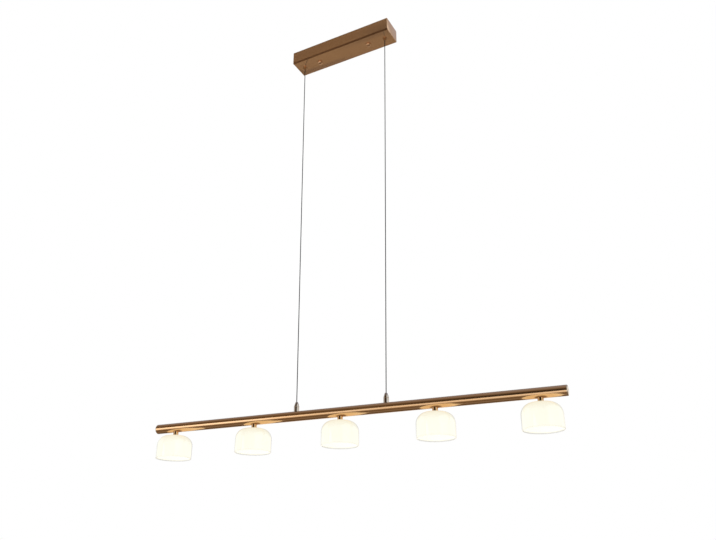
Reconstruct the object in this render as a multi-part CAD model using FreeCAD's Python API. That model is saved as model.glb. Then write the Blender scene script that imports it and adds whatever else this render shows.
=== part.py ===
import FreeCAD, Part
import math
import os
from FreeCAD import Vector

# Linear pendant: a long tube with opal glass shades, hung on two cables from a ceiling canopy.
# Millimetres. The origin is the centre of the canopy's ceiling face, X runs along the canopy, Z is up.
# The bar and its lamps are drawn along X about their own axis, then turned and lowered to where they hang.

# Canopy cover, an open-topped sheet box
canopy_length = 340.0
canopy_width = 68.0
canopy_height = 43.0
canopy_wall = 1.2
canopy_edge_radius = 1.0

# Ceiling bracket inside it
bracket_end_margin = 20.0
bracket_width = 46.0
bracket_thickness = 2.0
bracket_flange = 10.0
slot_spacing = 100.0
slot_length = 20.0
slot_width = 5.0
mains_hole_diameter = 20.0

# Studs and cap nuts that hold the cover
stud_end_margin = 82.0
stud_diameter = 5.0
stud_foot_diameter = 9.0
stud_foot_height = 1.0
cap_nut_diameter = 15.0
cap_nut_height = 8.0
cap_nut_rim_height = 3.5
cap_nut_wall = 1.5
hole_clearance = 0.3

# Driver and mains terminals under the bracket
driver_stud_gap = 23.0
driver_width = 40.0
driver_height = 22.0
driver_headroom = 12.0
driver_ear_length = 10.0
driver_ear_thickness = 2.0
spacer_diameter = 7.0
driver_screw_diameter = 3.5
driver_screw_head = 6.5
driver_screw_head_height = 2.0
terminal_end_margin = 58.0
terminal_length = 26.0
terminal_width = 20.0
terminal_height = 14.0
terminal_poles = 3
earth_screw_gap = 12.0
earth_screw_diameter = 4.0
earth_head_diameter = 7.5
earth_head_height = 2.4

# Cable grips
grip_end_margin = 25.0
grip_head_diameter = 14.0
grip_head_height = 3.0
grip_shank_diameter = 10.0
grip_shank_length = 18.0
grip_chamber_diameter = 8.0
grip_chamber_height = 8.0
grip_cone_height = 5.0
grip_roof = 3.0
plunger_diameter = 5.6
plunger_slack = 0.3
plunger_tip_diameter = 7.0
plunger_tip_height = 2.5
plunger_rest_gap = 3.0
ball_diameter = 2.4
ball_slack = 0.1
ball_play = 0.02
balls_per_grip = 3
spring_wire = 0.6
spring_turns = 4
locknut_flats = 14.0
locknut_height = 4.0

# Suspension cables and their crimped ends
cable_diameter = 2.5
cable_slack = 0.5
cable_end_diameter = 5.0
cable_end_length = 8.0
end_slack = 0.3

# Bar
bar_length = 1126.0
bar_drop = 1191.0
bar_turn_angle = 5.1
tube_diameter = 25.4
tube_wall = 1.5
end_cap_height = 3.0
end_cap_rounding = 2.2
end_cap_plug_length = 12.0
plug_wall = 1.5
plug_clearance = 0.1

# Couplers where the cables meet the bar
coupler_spacing = 250.0
coupler_diameter = 14.0
coupler_body_height = 11.0
coupler_nose_height = 13.0
coupler_nose_land = 1.5
coupler_tip_diameter = 6.4
coupler_shank_diameter = 10.0
coupler_wire_bore = 4.0
end_chamber_depth = 9.0
tube_nut_flats = 14.0
tube_nut_height = 3.0
curved_washer_diameter = 15.0
curved_washer_edge = 0.5

# Lamps
lamp_count = 5
lamp_end_margin = 63.0
neck_diameter = 14.0
neck_height = 8.5
neck_wrap = 3.0
nipple_diameter = 10.0
nipple_bore = 7.0
nipple_top = 3.5
nipple_grip = 6.0
gasket_thickness = 0.5
gasket_diameter = 13.6
inner_gasket_diameter = 24.0
shade_diameter = 95.5
shade_height = 63.0
shade_wall = 3.0
shade_crown_radius = 145.0
shade_shoulder_radius = 26.0
shade_seat_margin = 0.5
shade_rim_rounding = 1.0
lamp_boss_diameter = 24.0
lamp_boss_height = 3.5
lamp_base_diameter = 44.0
lamp_base_height = 11.0
board_diameter = 38.0
board_thickness = 1.6
diffuser_wall = 1.5
diffuser_ledge = 0.6
diffuser_skirt = 5.0
diffuser_depth = 9.0
diffuser_rounding = 3.0
snap_clearance = 0.1

# Wiring
lead_diameter = 1.4
feed_wire_diameter = 1.8
feed_wire_overhang = 8.0
lead_pitch = 3.4
tail_gap = 12.0
lead_joint_gap = 0.02

# Places that follow from the sizes
canopy_floor_top = -canopy_height + canopy_wall
bracket_length = canopy_length - 2 * bracket_end_margin
stud_spacing = canopy_length - 2 * stud_end_margin
driver_length = stud_spacing - 2 * driver_stud_gap
terminal_x = canopy_length / 2 - terminal_end_margin
earth_screw_x = stud_spacing / 2 - earth_screw_gap
grip_spacing = canopy_length - 2 * grip_end_margin
bracket_underside = -bracket_thickness
driver_top = bracket_underside - driver_headroom
driver_bottom = driver_top - driver_height
grip_head_bottom = -canopy_height - grip_head_height
grip_shank_top = -canopy_height + grip_shank_length
grip_chamber_top = grip_shank_top - grip_roof
grip_chamber_bottom = grip_chamber_top - grip_chamber_height
grip_cone_bottom = grip_chamber_bottom - grip_cone_height
grip_guide_diameter = plunger_diameter + 2 * plunger_slack
plunger_tip_bottom = grip_head_bottom - plunger_rest_gap - plunger_tip_height
plunger_top = grip_chamber_bottom
tube_radius = tube_diameter / 2
tube_inner_radius = tube_radius - tube_wall
tube_length = bar_length - 2 * end_cap_height
coupler_body_top = tube_radius + coupler_body_height
coupler_top = coupler_body_top + coupler_nose_height
cable_bore = cable_diameter + 2 * cable_slack
neck_bottom = -tube_radius - neck_height
shade_top = neck_bottom - gasket_thickness
crown_underside = shade_top - shade_wall
lamp_boss_top = crown_underside - gasket_thickness
lamp_base_top = lamp_boss_top - lamp_boss_height
lamp_base_bottom = lamp_base_top - lamp_base_height
washer_seat = -math.sqrt(tube_inner_radius ** 2 - (curved_washer_diameter / 2) ** 2) + curved_washer_edge
feed_wire_offset = tube_inner_radius - feed_wire_diameter
lamp_spacing = (bar_length - 2 * lamp_end_margin) / (lamp_count - 1)
lamp_places = [(index - (lamp_count - 1) / 2) * lamp_spacing for index in range(lamp_count)]
feed_wire_reach = lamp_places[-1] + feed_wire_overhang
sides = {"left": -1, "right": 1}

UP = Vector(0, 0, 1)
ALONG = Vector(1, 0, 0)


def rod(diameter, low, high, x=0.0, y=0.0):
    return Part.makeCylinder(diameter / 2, high - low, Vector(x, y, low), UP)


def ring(outer, inner, low, high, x=0.0, y=0.0):
    return rod(outer, low, high, x, y).cut(rod(inner, low - 1, high + 1, x, y))


def block(length, width, low, high, x=0.0, y=0.0):
    return Part.makeBox(length, width, high - low, Vector(x - length / 2, y - width / 2, low))


def bar_rod(diameter, length, start):
    return Part.makeCylinder(diameter / 2, length, Vector(start, 0, 0), ALONG)


def cone(bottom_diameter, top_diameter, low, high, x=0.0, y=0.0):
    return Part.makeCone(bottom_diameter / 2, top_diameter / 2, high - low, Vector(x, y, low), UP)


def hex_nut(flats, bore, low, high, x=0.0, y=0.0):
    # Two of the six flats face along Y, so the nut clears the round wall of the tube.
    corner = flats / math.sqrt(3)
    points = [Vector(x + corner * math.cos(math.radians(60 * k)),
                     y + corner * math.sin(math.radians(60 * k)), low) for k in range(7)]
    prism = Part.Face(Part.makePolygon(points)).extrude(Vector(0, 0, high - low))
    return prism.cut(rod(bore, low - 1, high + 1, x, y))


def vertical_edges(shape):
    return [edge for edge in shape.Edges
            if abs(edge.tangentAt(edge.FirstParameter).z) > 0.99 and edge.Length > 1]


def lead(points, diameter):
    # A round wire along straight runs with an arc at each bend, as large as its two runs allow.
    places = [Vector(*point) for point in points]
    edges = []
    start = places[0]
    for before, here, after in zip(places, places[1:], places[2:]):
        arriving = (here - before).normalize()
        leaving = (after - here).normalize()
        turn = arriving.getAngle(leaving)
        reach = 0.45 * min((here - before).Length, (after - here).Length)
        first = here - arriving * reach
        last = here + leaving * reach
        toward_centre = (leaving - arriving).normalize()
        radius = reach / math.tan(turn / 2)
        middle = here + toward_centre * (radius / math.cos(turn / 2) - radius)
        edges.append(Part.LineSegment(start, first).toShape())
        edges.append(Part.Arc(first, middle, last).toShape())
        start = last
    edges.append(Part.LineSegment(start, places[-1]).toShape())
    path = Part.Wire(edges)
    section = Part.Wire(Part.makeCircle(diameter / 2, places[0], places[1] - places[0]))
    return path.makePipeShell([section], True, False)


def hang(shape):
    # From the bar's own axes to where the bar hangs below the ceiling.
    hung = shape.copy()
    hung.rotate(Vector(0, 0, 0), UP, bar_turn_angle)
    hung.translate(Vector(0, 0, -bar_drop))
    return hung


def save(name, shapes):
    solids = shapes if isinstance(shapes, list) else [shapes]
    solids = [solid.removeSplitter() for solid in solids]
    for solid in solids:
        if not solid.isValid() or len(solid.Solids) != 1:
            raise ValueError(name + " isn't one valid solid")
    shape = solids[0] if len(solids) == 1 else Part.makeCompound(solids)
    shape.exportStep(os.path.join("parts", name + ".step"))
    print(name, len(solids), round(sum(solid.Volume for solid in solids), 1))


# Canopy

def canopy_cover():
    outside = block(canopy_length, canopy_width, -canopy_height, 0)
    outside = outside.makeFillet(canopy_edge_radius, vertical_edges(outside))
    bottom = [edge for edge in outside.Edges
              if abs(edge.BoundBox.ZMin + canopy_height) < 0.01 and abs(edge.BoundBox.ZMax + canopy_height) < 0.01]
    outside = outside.makeFillet(canopy_edge_radius * 0.8, bottom)
    inside = block(canopy_length - 2 * canopy_wall, canopy_width - 2 * canopy_wall, canopy_floor_top, 1)
    cover = outside.cut(inside)
    for side in sides.values():
        grip_x = side * grip_spacing / 2
        stud_x = side * stud_spacing / 2
        cover = cover.cut(rod(grip_shank_diameter + hole_clearance, -canopy_height - 1, canopy_floor_top + 1, grip_x))
        cover = cover.cut(rod(stud_diameter + hole_clearance, -canopy_height - 1, canopy_floor_top + 1, stud_x))
    return cover


def ceiling_bracket():
    channel = block(bracket_length, bracket_width, -bracket_flange, 0)
    inner_width = bracket_width - 2 * bracket_thickness
    channel = channel.cut(block(bracket_length + 2, inner_width, -bracket_flange - 1, bracket_underside))
    channel = channel.cut(rod(mains_hole_diameter, -bracket_thickness - 1, 1))
    for side in sides.values():
        slot_x = side * slot_spacing / 2
        slot = block(slot_length - slot_width, slot_width, -bracket_thickness - 1, 1, slot_x)
        for end in (-1, 1):
            end_x = slot_x + end * (slot_length - slot_width) / 2
            slot = slot.fuse(rod(slot_width, -bracket_thickness - 1, 1, end_x))
        channel = channel.cut(slot)
        screw_x = side * (driver_length + driver_ear_length) / 2
        channel = channel.cut(rod(driver_screw_diameter, -bracket_thickness - 1, 1, screw_x))
    channel = channel.cut(rod(earth_screw_diameter, -bracket_thickness - 1, 1, earth_screw_x, earth_y()))
    return channel


def earth_y():
    return -bracket_width / 2 + bracket_thickness + earth_head_diameter


def cover_studs():
    studs = []
    for side in sides.values():
        x = side * stud_spacing / 2
        foot = rod(stud_foot_diameter, bracket_underside - stud_foot_height, bracket_underside, x)
        shaft_end = -canopy_height - cap_nut_height + cap_nut_wall + 1
        studs.append(foot.fuse(rod(stud_diameter, shaft_end, bracket_underside, x)))
    return studs


def cap_nuts():
    nuts = []
    for side in sides.values():
        x = side * stud_spacing / 2
        rim_bottom = -canopy_height - cap_nut_rim_height
        nut = rod(cap_nut_diameter, rim_bottom, -canopy_height, x)
        # The dome is part of a ball that meets the rim's full width.
        dome_height = cap_nut_height - cap_nut_rim_height
        dome_radius = ((cap_nut_diameter / 2) ** 2 + dome_height ** 2) / (2 * dome_height)
        ball = Part.makeSphere(dome_radius, Vector(x, 0, rim_bottom - dome_height + dome_radius))
        dome = ball.common(rod(3 * cap_nut_diameter, rim_bottom - 2 * dome_height, rim_bottom, x))
        nut = nut.fuse(dome)
        thread_depth = cap_nut_height - cap_nut_wall
        nuts.append(nut.cut(rod(stud_diameter, -canopy_height - thread_depth, -canopy_height + 1, x)))
    return nuts


def driver():
    case = block(driver_length, driver_width, driver_bottom, driver_top)
    case = case.makeFillet(2, vertical_edges(case))
    for side in sides.values():
        ear_x = side * (driver_length + driver_ear_length) / 2
        ear = block(driver_ear_length + 2, driver_width * 0.6, driver_top - driver_ear_thickness, driver_top,
                    ear_x - side)
        case = case.fuse(ear)
        case = case.cut(rod(driver_screw_diameter, driver_top - driver_ear_thickness - 1, driver_top + 1, ear_x))
    return case


def driver_fixings():
    parts = []
    for side in sides.values():
        x = side * (driver_length + driver_ear_length) / 2
        ear_bottom = driver_top - driver_ear_thickness
        parts.append(ring(spacer_diameter, driver_screw_diameter, driver_top, bracket_underside, x))
        screw = rod(driver_screw_head, ear_bottom - driver_screw_head_height, ear_bottom, x)
        parts.append(screw.fuse(rod(driver_screw_diameter, ear_bottom, 0, x)))
    return parts


def terminal_places():
    pitch = terminal_width / terminal_poles
    return [(index - (terminal_poles - 1) / 2) * pitch for index in range(terminal_poles)]


def terminal_block():
    body = block(terminal_length, terminal_width, bracket_underside - terminal_height, bracket_underside, terminal_x)
    for y in terminal_places():
        # Wire entries at both ends and a screw opening underneath, for each pole.
        mouth = bracket_underside - terminal_height / 2
        for side in sides.values():
            start = Vector(terminal_x + side * terminal_length / 2, y, mouth)
            body = body.cut(Part.makeCylinder(1.8, 8, start, Vector(-side, 0, 0)))
        underside = bracket_underside - terminal_height
        body = body.cut(rod(3.2, underside - 1, underside + 4, terminal_x, y))
    return body


def earth_screw():
    y = earth_y()
    head_bottom = bracket_underside - earth_head_height
    head = rod(earth_head_diameter, head_bottom, bracket_underside, earth_screw_x, y)
    shank = rod(earth_screw_diameter, bracket_underside, 0, earth_screw_x, y)
    slot = block(earth_head_diameter + 2, 1, head_bottom - 1, head_bottom + 1, earth_screw_x, y)
    return head.fuse(shank).cut(slot)


def earth_lead():
    # From the third pole of the terminals to the earth screw's head.
    y = terminal_places()[0]
    mouth = bracket_underside - terminal_height / 2
    pole_x = terminal_x - terminal_length / 2
    screw_edge = earth_screw_x + earth_head_diameter / 2
    level = bracket_underside - earth_head_height / 2
    return lead([(pole_x + 5, y, mouth), (pole_x - 5, y, mouth), (screw_edge + 5, earth_y(), level),
                 (screw_edge, earth_y(), level)], lead_diameter)


def mains_leads():
    # Live and neutral, from the terminals round the stud to the driver's end.
    leads = []
    mouth = bracket_underside - terminal_height / 2
    pole_x = terminal_x - terminal_length / 2
    driver_end = driver_length / 2
    level = driver_bottom + driver_height / 3
    for y, spread in zip(terminal_places()[1:], (8.0, 13.0)):
        leads.append(lead([(pole_x + 5, y, mouth), (pole_x - 4, y, mouth), (pole_x - 12, spread, level),
                           (driver_end, spread, level)], lead_diameter))
    return leads


# Cable grips

def grip_body(x):
    head = rod(grip_head_diameter, grip_head_bottom, -canopy_height, x)
    lower_edge = [edge for edge in head.Edges if abs(edge.BoundBox.ZMax - grip_head_bottom) < 0.01]
    head = head.makeChamfer(1, lower_edge)
    body = head.fuse(rod(grip_shank_diameter, -canopy_height, grip_shank_top, x))
    body = body.cut(rod(grip_guide_diameter, grip_head_bottom - 1, grip_cone_bottom, x))
    body = body.cut(cone(grip_guide_diameter, grip_chamber_diameter, grip_cone_bottom, grip_chamber_bottom, x))
    body = body.cut(rod(grip_chamber_diameter, grip_chamber_bottom, grip_chamber_top, x))
    return body.cut(rod(cable_bore, grip_chamber_top - 1, grip_shank_top + 1, x))


def ball_offset():
    return (cable_diameter + ball_diameter) / 2 + ball_play


def ball_level():
    # Where a ball that rests on the cable also reaches the cone.
    slope = (grip_chamber_diameter - grip_guide_diameter) / 2 / grip_cone_height
    reach = ball_diameter / 2 + ball_play
    cone_radius = ball_offset() + reach * math.sqrt(1 + slope ** 2)
    return grip_cone_bottom + (cone_radius - grip_guide_diameter / 2) / slope


def ball_directions():
    return [math.radians(360 * (index + 0.5) / balls_per_grip) for index in range(balls_per_grip)]


def grip_plunger(x):
    tip = rod(plunger_tip_diameter, plunger_tip_bottom, plunger_tip_bottom + plunger_tip_height, x)
    tip = tip.makeChamfer(0.6, [edge for edge in tip.Edges if abs(edge.BoundBox.ZMax - plunger_tip_bottom) < 0.01])
    plunger = tip.fuse(rod(plunger_diameter, plunger_tip_bottom + plunger_tip_height, plunger_top, x))
    plunger = plunger.cut(rod(cable_bore, plunger_tip_bottom - 1, plunger_top + 1, x))
    for angle in ball_directions():
        outward = Vector(math.cos(angle), math.sin(angle), 0)
        start = Vector(x, 0, ball_level())
        plunger = plunger.cut(Part.makeCylinder(ball_diameter / 2 + ball_slack, plunger_diameter, start, outward))
    return plunger


def grip_balls(x):
    balls = []
    for angle in ball_directions():
        place = Vector(x + ball_offset() * math.cos(angle), ball_offset() * math.sin(angle), ball_level())
        balls.append(Part.makeSphere(ball_diameter / 2, place))
    return balls


def grip_spring(x):
    coil_radius = plunger_diameter / 2 - spring_wire / 2
    low = plunger_top + spring_wire / 2
    high = grip_chamber_top - spring_wire / 2
    helix = Part.makeHelix((high - low) / spring_turns, high - low, coil_radius)
    section = Part.Wire(Part.makeCircle(spring_wire / 2, Vector(coil_radius, 0, 0), Vector(0, 1, 0)))
    spring = Part.Wire(helix.Edges).makePipeShell([section], True, True)
    spring.translate(Vector(x, 0, low))
    return spring


def grip_locknuts():
    return [hex_nut(locknut_flats, grip_shank_diameter, canopy_floor_top, canopy_floor_top + locknut_height,
                    side * grip_spacing / 2) for side in sides.values()]


def cable_tail(side):
    # The cable's upper end goes up through the grip and bends over to the driver's output end.
    x = side * grip_spacing / 2
    bend_top = bracket_underside - bracket_thickness
    output_x = -driver_length / 2
    level = (driver_bottom + driver_top) / 2
    if side < 0:
        points = [(x, 0, plunger_tip_bottom), (x, 0, bend_top - 4), (x + 24, 0, bend_top - 4),
                  (output_x - 16, -tail_gap / 2, level), (output_x, -tail_gap / 2, level)]
    else:
        lane = (driver_width / 2 + canopy_width / 2 - canopy_wall) / 2
        points = [(x, 0, plunger_tip_bottom), (x, 0, bend_top - 4), (x - 12, lane * 0.7, bend_top - 10),
                  (x - 34, lane, level), (output_x + 10, lane, level), (output_x - 14, lane * 0.8, level),
                  (output_x - 14, tail_gap / 2, level), (output_x, tail_gap / 2, level)]
    return lead(points, cable_diameter)


# Suspension cables

def cable_bottom(side):
    turn = math.radians(bar_turn_angle)
    reach = side * coupler_spacing / 2
    return Vector(reach * math.cos(turn), reach * math.sin(turn), coupler_body_top - bar_drop)


def cable(side):
    # It leans a little inward, so both ends are cut level where they meet the pieces they run into.
    top = Vector(side * grip_spacing / 2, 0, plunger_tip_bottom)
    bottom = cable_bottom(side)
    run = bottom - top
    spare = run.normalize() * 5
    shaft = Part.makeCylinder(cable_diameter / 2, (bottom - top).Length + 10, top - spare, run)
    return shaft.common(block(grip_spacing * 2, canopy_width, bottom.z, top.z))


def cable_end(side):
    x = side * coupler_spacing / 2
    return rod(cable_end_diameter, coupler_body_top - cable_end_length, coupler_body_top, x)


# Bar

def bar_tube():
    start = -tube_length / 2
    tube = bar_rod(tube_diameter, tube_length, start)
    tube = tube.cut(bar_rod(2 * tube_inner_radius, tube_length + 2, start - 1))
    for side in sides.values():
        tube = tube.cut(rod(coupler_shank_diameter + hole_clearance, 0, tube_diameter, side * coupler_spacing / 2))
    for x in lamp_places:
        tube = tube.cut(rod(nipple_diameter + hole_clearance, -tube_diameter, 0, x))
    return tube


def end_cap(side):
    # A flange as wide as the tube, rounded on its outer edge, with a plug that fits in the bore.
    flange = Part.makeCylinder(tube_radius, end_cap_height, Vector(tube_length / 2, 0, 0), ALONG)
    outer_edge = [edge for edge in flange.Edges if edge.BoundBox.XMin > bar_length / 2 - 0.01]
    flange = flange.makeFillet(end_cap_rounding, outer_edge)
    plug_diameter = 2 * (tube_inner_radius - plug_clearance)
    plug = bar_rod(plug_diameter, end_cap_plug_length, tube_length / 2 - end_cap_plug_length)
    hollow = bar_rod(plug_diameter - 2 * plug_wall, end_cap_plug_length, tube_length / 2 - end_cap_plug_length)
    cap = flange.fuse(plug.cut(hollow))
    if side < 0:
        cap.rotate(Vector(0, 0, 0), UP, 180)
    return cap


def coupler_body(side):
    x = side * coupler_spacing / 2
    body = rod(coupler_diameter, 0, coupler_body_top, x)
    body = body.cut(bar_rod(tube_diameter, tube_length, -tube_length / 2))
    body = body.fuse(rod(coupler_shank_diameter, tube_nut_height, coupler_body_top - end_chamber_depth - 1, x))
    body = body.cut(rod(coupler_wire_bore, 0, coupler_body_top, x))
    chamber = rod(cable_end_diameter + 2 * end_slack, coupler_body_top - end_chamber_depth, coupler_body_top + 1, x)
    return body.cut(chamber)


def coupler_nose(side):
    x = side * coupler_spacing / 2
    land_top = coupler_body_top + coupler_nose_land
    nose = rod(coupler_diameter, coupler_body_top, land_top, x)
    nose = nose.fuse(cone(coupler_diameter, coupler_tip_diameter, land_top, coupler_top, x))
    return nose.cut(rod(cable_bore, coupler_body_top - 1, coupler_top + 1, x))


def tube_nut(x, facing):
    # A hexagon nut inside the tube, on a washer whose back follows the tube's bore.
    seat = washer_seat
    nut = hex_nut(tube_nut_flats, nipple_diameter, seat, seat + tube_nut_height, 0)
    washer = rod(curved_washer_diameter, -tube_inner_radius, seat)
    washer = washer.common(bar_rod(2 * tube_inner_radius, tube_diameter, -tube_radius))
    washer = washer.cut(rod(nipple_diameter, -tube_diameter, 0))
    solids = [nut, washer]
    for solid in solids:
        if facing > 0:
            solid.rotate(Vector(0, 0, 0), ALONG, 180)
        solid.translate(Vector(x, 0, 0))
    return solids


def tube_nuts():
    solids = []
    for x in lamp_places:
        solids += tube_nut(x, -1)
    for side in sides.values():
        solids += tube_nut(side * coupler_spacing / 2, 1)
    return solids


def feed_wire(side):
    return Part.makeCylinder(feed_wire_diameter / 2, 2 * feed_wire_reach,
                             Vector(-feed_wire_reach, side * feed_wire_offset, 0), ALONG)


def short_leads():
    # Each lamp has two leads up through its nipple, one to each feed wire.
    solids = []
    touch = feed_wire_offset - feed_wire_diameter / 2 - lead_joint_gap
    level = 0.0
    for x in lamp_places:
        for side in (-1, 1):
            place = x + side * lead_pitch / 2
            solids.append(lead([(place, 0, lamp_base_bottom), (place, 0, level),
                                (place, side * touch, level)], lead_diameter))
    # Each coupler has one lead, from the crimped cable end down to its own feed wire.
    for side in sides.values():
        x = side * coupler_spacing / 2
        end_bottom = coupler_body_top - cable_end_length
        solids.append(lead([(x, 0, end_bottom), (x, 0, level), (x, side * touch, level)], lead_diameter))
    return solids


# Lamps

def nipple(x):
    return ring(nipple_diameter, nipple_bore, lamp_boss_top - nipple_grip, -nipple_top, x)


def neck(x):
    # Its top is hollowed to the tube's own curve, so that it bears on the tube all round.
    spacer = ring(neck_diameter, nipple_diameter, neck_bottom, -tube_radius + neck_wrap, x)
    return spacer.cut(bar_rod(tube_diameter, tube_length, -tube_length / 2))


def gaskets(x):
    upper = ring(gasket_diameter, nipple_diameter, shade_top, neck_bottom, x)
    lower = ring(inner_gasket_diameter, nipple_diameter, lamp_boss_top, crown_underside, x)
    return [upper, lower]


def dome_face(radius, top, bottom, crown_radius, shoulder_radius):
    # Half section of a dome: a shallow crown, a round shoulder tangent to it, and a straight wall.
    shoulder_x = radius - shoulder_radius
    rise = math.sqrt((crown_radius - shoulder_radius) ** 2 - shoulder_x ** 2)
    crown_centre = Vector(0, 0, top - crown_radius)
    shoulder_centre = crown_centre + Vector(shoulder_x, 0, rise)
    slope = math.atan2(rise, shoulder_x)
    crown_middle = (math.pi / 2 + slope) / 2

    def at(centre, size, angle):
        return centre + Vector(size * math.cos(angle), 0, size * math.sin(angle))

    apex = at(crown_centre, crown_radius, math.pi / 2)
    joint = at(crown_centre, crown_radius, slope)
    wall_top = at(shoulder_centre, shoulder_radius, 0)
    edges = [Part.Arc(apex, at(crown_centre, crown_radius, crown_middle), joint).toShape(),
             Part.Arc(joint, at(shoulder_centre, shoulder_radius, slope / 2), wall_top).toShape(),
             Part.LineSegment(wall_top, Vector(radius, 0, bottom)).toShape(),
             Part.LineSegment(Vector(radius, 0, bottom), Vector(0, 0, bottom)).toShape(),
             Part.LineSegment(Vector(0, 0, bottom), apex).toShape()]
    return Part.Face(Part.Wire(edges))


def dome(radius, top, bottom, crown_radius, shoulder_radius):
    face = dome_face(radius, top, bottom, crown_radius, shoulder_radius)
    return face.revolve(Vector(0, 0, 0), UP, 360)


def shade_glass(x):
    rim = shade_top - shade_height
    radius = shade_diameter / 2
    outer_seat = neck_diameter / 2 + shade_seat_margin
    inner_seat = inner_gasket_diameter / 2 + shade_seat_margin
    ground_away = shade_crown_radius - math.sqrt(shade_crown_radius ** 2 - outer_seat ** 2)
    outside = dome(radius, shade_top + ground_away, rim, shade_crown_radius, shade_shoulder_radius)
    inside = dome(radius - shade_wall, crown_underside, rim - 5,
                  shade_crown_radius - shade_wall, shade_shoulder_radius - shade_wall)
    glass = outside.cut(inside)
    # Flat seats are ground above and below the crown, so that the gaskets bear on it.
    glass = glass.cut(rod(2 * outer_seat, shade_top, shade_top + 5))
    glass = glass.cut(rod(2 * inner_seat, crown_underside - 5, crown_underside))
    glass = glass.cut(rod(nipple_diameter + hole_clearance, crown_underside - 5, shade_top + 1))
    rim_edges = [edge for edge in glass.Edges if abs(edge.BoundBox.ZMax - rim) < 0.01]
    glass = glass.makeFillet(shade_rim_rounding, rim_edges)
    glass.translate(Vector(x, 0, 0))
    return glass


def lamp_base(x):
    boss = rod(lamp_boss_diameter, lamp_base_top, lamp_boss_top)
    body = rod(lamp_base_diameter, lamp_base_bottom, lamp_base_top)
    body = body.makeChamfer(1, [edge for edge in body.Edges if abs(edge.BoundBox.ZMin - lamp_base_top) < 0.01])
    base = boss.fuse(body)
    base = base.cut(rod(nipple_diameter, lamp_boss_top - nipple_grip, lamp_boss_top + 1))
    base = base.cut(rod(nipple_bore, lamp_base_bottom - 1, lamp_boss_top))
    base.translate(Vector(x, 0, 0))
    return base


def led_board(x):
    return rod(board_diameter, lamp_base_bottom - board_thickness, lamp_base_bottom, x)


def diffuser(x):
    outer_diameter = lamp_base_diameter + 2 * (snap_clearance + diffuser_wall)
    bottom = lamp_base_bottom - diffuser_depth
    cap = rod(outer_diameter, bottom, lamp_base_bottom + diffuser_skirt)
    cap = cap.makeFillet(diffuser_rounding, [edge for edge in cap.Edges if abs(edge.BoundBox.ZMax - bottom) < 0.01])
    skirt_diameter = outer_diameter - 2 * diffuser_wall
    cap = cap.cut(rod(skirt_diameter, lamp_base_bottom, lamp_base_bottom + diffuser_skirt + 1))
    # Below the skirt the hollow is narrower, and leaves a ledge that bears on the lamp base.
    hollow = rod(skirt_diameter - 2 * diffuser_ledge, bottom + diffuser_wall, lamp_base_bottom + 1)
    floor_edge = [edge for edge in hollow.Edges if abs(edge.BoundBox.ZMax - bottom - diffuser_wall) < 0.01]
    shape = cap.cut(hollow.makeFillet(diffuser_rounding - diffuser_wall, floor_edge))
    shape.translate(Vector(x, 0, 0))
    return shape


os.makedirs("parts", exist_ok=True)

save("canopy_cover", canopy_cover())
save("ceiling_bracket", ceiling_bracket())
save("cover_studs", cover_studs())
save("cap_nuts", cap_nuts())
save("led_driver", driver())
save("driver_fixings", driver_fixings())
save("terminal_block", terminal_block())
save("earth_screw", earth_screw())
save("earth_lead", earth_lead())
save("mains_leads", mains_leads())
save("grip_locknuts", grip_locknuts())
for side_name, side_sign in sides.items():
    grip_place = side_sign * grip_spacing / 2
    save(side_name + "_grip_body", grip_body(grip_place))
    save(side_name + "_grip_plunger", grip_plunger(grip_place))
    save(side_name + "_grip_balls", grip_balls(grip_place))
    save(side_name + "_grip_spring", grip_spring(grip_place))
    save(side_name + "_cable_tail", cable_tail(side_sign))
    save(side_name + "_cable", cable(side_sign))
    save(side_name + "_cable_end", hang(cable_end(side_sign)))
    save(side_name + "_coupler_body", hang(coupler_body(side_sign)))
    save(side_name + "_coupler_nose", hang(coupler_nose(side_sign)))
    save(side_name + "_end_cap", hang(end_cap(side_sign)))
save("bar_tube", hang(bar_tube()))
save("positive_feed_wire", hang(feed_wire(-1)))
save("negative_feed_wire", hang(feed_wire(1)))
save("short_leads", [hang(solid) for solid in short_leads()])
save("tube_nuts", [hang(solid) for solid in tube_nuts()])
save("threaded_nipples", [hang(nipple(x)) for x in lamp_places])
save("shade_gaskets", [hang(solid) for x in lamp_places for solid in gaskets(x)])
save("led_boards", [hang(led_board(x)) for x in lamp_places])
for number, lamp_x in enumerate(lamp_places, start=1):
    save("neck_" + str(number), hang(neck(lamp_x)))
    save("shade_glass_" + str(number), hang(shade_glass(lamp_x)))
    save("lamp_base_" + str(number), hang(lamp_base(lamp_x)))
    save("diffuser_" + str(number), hang(diffuser(lamp_x)))
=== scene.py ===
import math

import bpy
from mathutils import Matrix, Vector


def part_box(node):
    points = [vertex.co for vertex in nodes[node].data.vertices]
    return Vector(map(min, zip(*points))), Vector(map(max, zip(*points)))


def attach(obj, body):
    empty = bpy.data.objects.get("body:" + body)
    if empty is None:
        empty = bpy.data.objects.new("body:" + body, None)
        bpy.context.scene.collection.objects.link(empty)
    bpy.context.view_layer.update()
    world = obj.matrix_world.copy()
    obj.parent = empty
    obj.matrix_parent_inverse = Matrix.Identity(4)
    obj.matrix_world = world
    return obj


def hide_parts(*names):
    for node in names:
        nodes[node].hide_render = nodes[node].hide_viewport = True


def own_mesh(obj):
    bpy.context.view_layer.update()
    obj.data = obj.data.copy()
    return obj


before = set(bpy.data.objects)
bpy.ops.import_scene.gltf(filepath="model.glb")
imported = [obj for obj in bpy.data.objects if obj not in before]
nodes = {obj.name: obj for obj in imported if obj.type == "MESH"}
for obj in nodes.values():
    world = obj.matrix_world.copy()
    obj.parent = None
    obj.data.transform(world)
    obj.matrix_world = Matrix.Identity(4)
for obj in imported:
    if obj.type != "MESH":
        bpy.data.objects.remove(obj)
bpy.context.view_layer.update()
print("frame loaded with", len(nodes), "nodes")

mm = 0.001
lampNumbers = range(1, 6)
sides = ("left", "right")


# Places that come from the frame

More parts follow.
